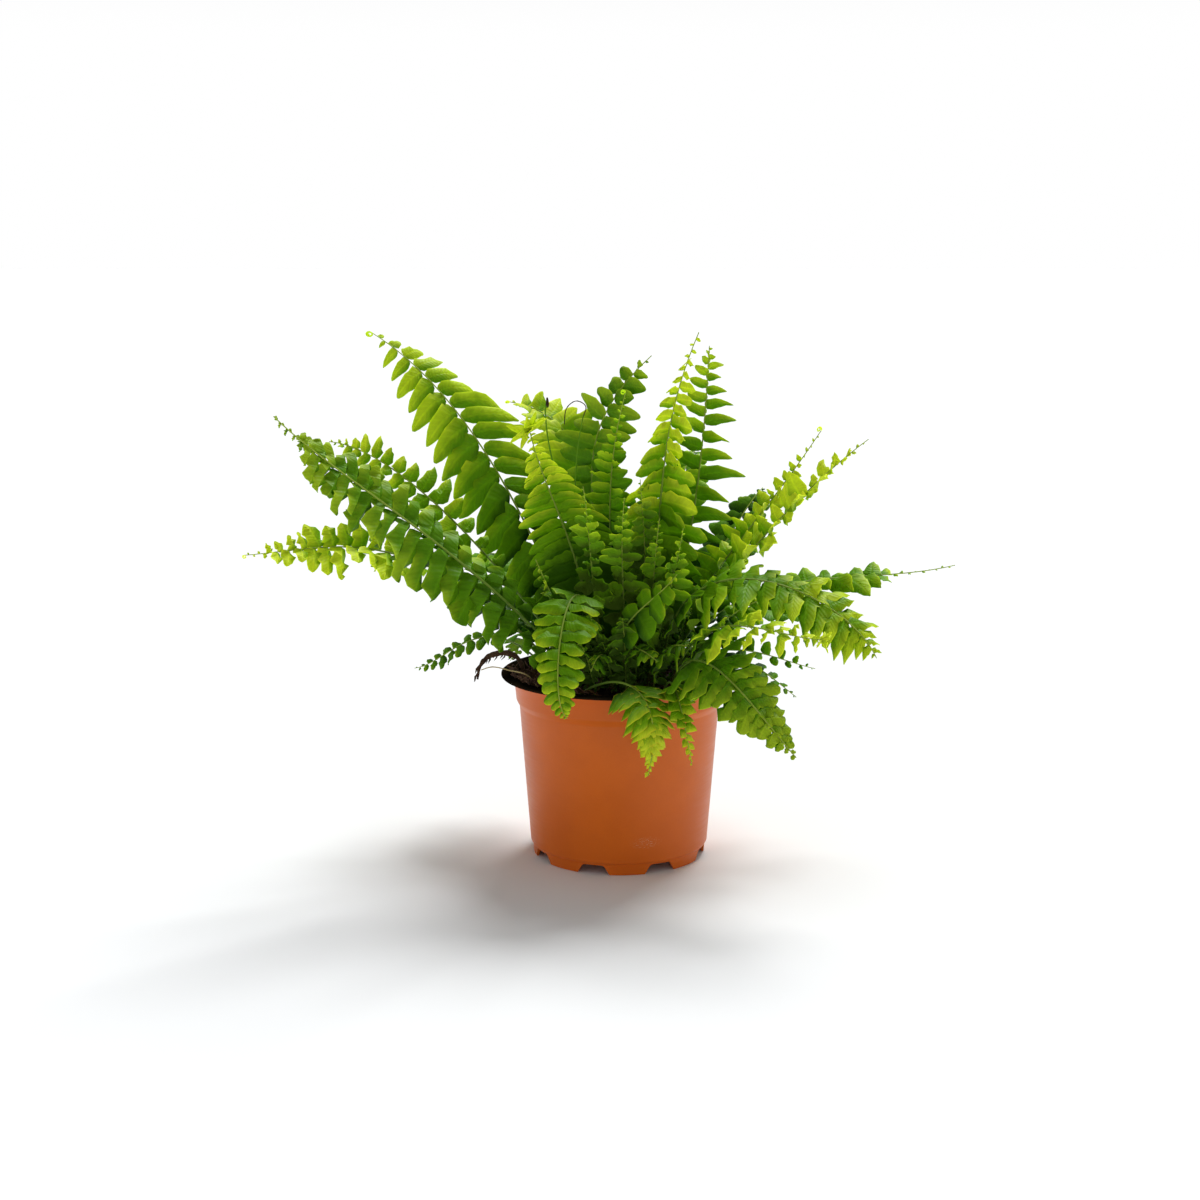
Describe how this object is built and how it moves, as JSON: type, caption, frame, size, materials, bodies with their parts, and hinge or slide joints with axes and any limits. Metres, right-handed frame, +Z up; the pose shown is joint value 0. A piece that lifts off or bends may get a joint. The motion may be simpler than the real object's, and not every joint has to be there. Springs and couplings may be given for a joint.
{
  "type": "potted fern",
  "caption": "Young sword fern in a round terracotta-coloured plastic nursery pot, with arching feathery fronds that spread over the rim all round.",
  "frame": {"origin": "middle of the pot's foot, on the surface that the pot stands on, which is also the middle of the underside of the bounding box", "axes": "+X to the right along the longest spread of the fronds, +Y to the back, +Z up; the front that the picture shows faces -Y"},
  "size_m": [0.3599, 0.2451, 0.2669],
  "materials": {
    "pot_plastic": "thin moulded plastic, terracotta orange, half gloss",
    "soil": "moist dark peat with fibres, matt",
    "frond_young": "young living leaf, bright yellow-green, satin",
    "frond_fresh": "living leaf, light green, satin",
    "frond_green": "living leaf, mid green, satin",
    "frond_dark": "older living leaf, dark green, satin",
    "dry_brown": "withered dark brown stalk, matt",
    "straw": "dry straw-coloured stalk, matt",
    "crown": "dark brown scaly rootstock, matt"
  },
  "bodies": {
    "root": {"pot": "pot_plastic", "soil": "soil", "frond_left_tall": "frond_green", "frond_left_broad": "frond_dark", "frond_left_yellow": "frond_young", "frond_left_level": "frond_young", "frond_left_low": "frond_dark", "frond_middle_bright": "frond_young", "frond_middle_back": "frond_young", "frond_crown_hook": "frond_dark", "frond_crown_slim": "frond_fresh", "frond_crown_yellow": "frond_young", "frond_crown_right": "frond_green", "frond_right_back": "frond_dark", "frond_right_slim": "frond_young", "frond_right_rising": "frond_young", "frond_right_arching": "frond_green", "frond_right_long": "frond_green", "frond_right_curled": "frond_young", "frond_right_twisted": "frond_fresh", "frond_right_low": "frond_dark", "frond_right_dark": "frond_dark", "frond_front_left": "frond_green", "frond_front_hanging": "frond_young", "frond_front_thin": "frond_young", "frond_front_round": "frond_green", "frond_front_dark": "frond_dark", "frond_front_small": "frond_dark", "frond_inner_first": "frond_fresh", "frond_inner_second": "frond_fresh", "frond_inner_third": "frond_fresh", "frond_inner_fourth": "frond_fresh", "frond_inner_dark": "frond_dark", "frond_inner_left": "frond_dark", "frond_inner_low": "frond_dark", "frond_inner_right": "frond_green", "frond_inner_middle": "frond_dark", "frond_back_middle": "frond_green", "frond_back_right": "frond_dark", "frond_back_left": "frond_green", "frond_side_right": "frond_green", "frond_side_left": "frond_green", "frond_back_tall": "frond_fresh", "frond_back_tall_right": "frond_fresh", "frond_back_low": "frond_dark", "frond_back_low_left": "frond_dark", "crozier": "frond_dark", "runner_middle": "dry_brown", "dry_frond": "dry_brown", "dry_straw": "straw", "crown_left": "crown", "crown_middle": "crown"}
  },
  "joints": []
}
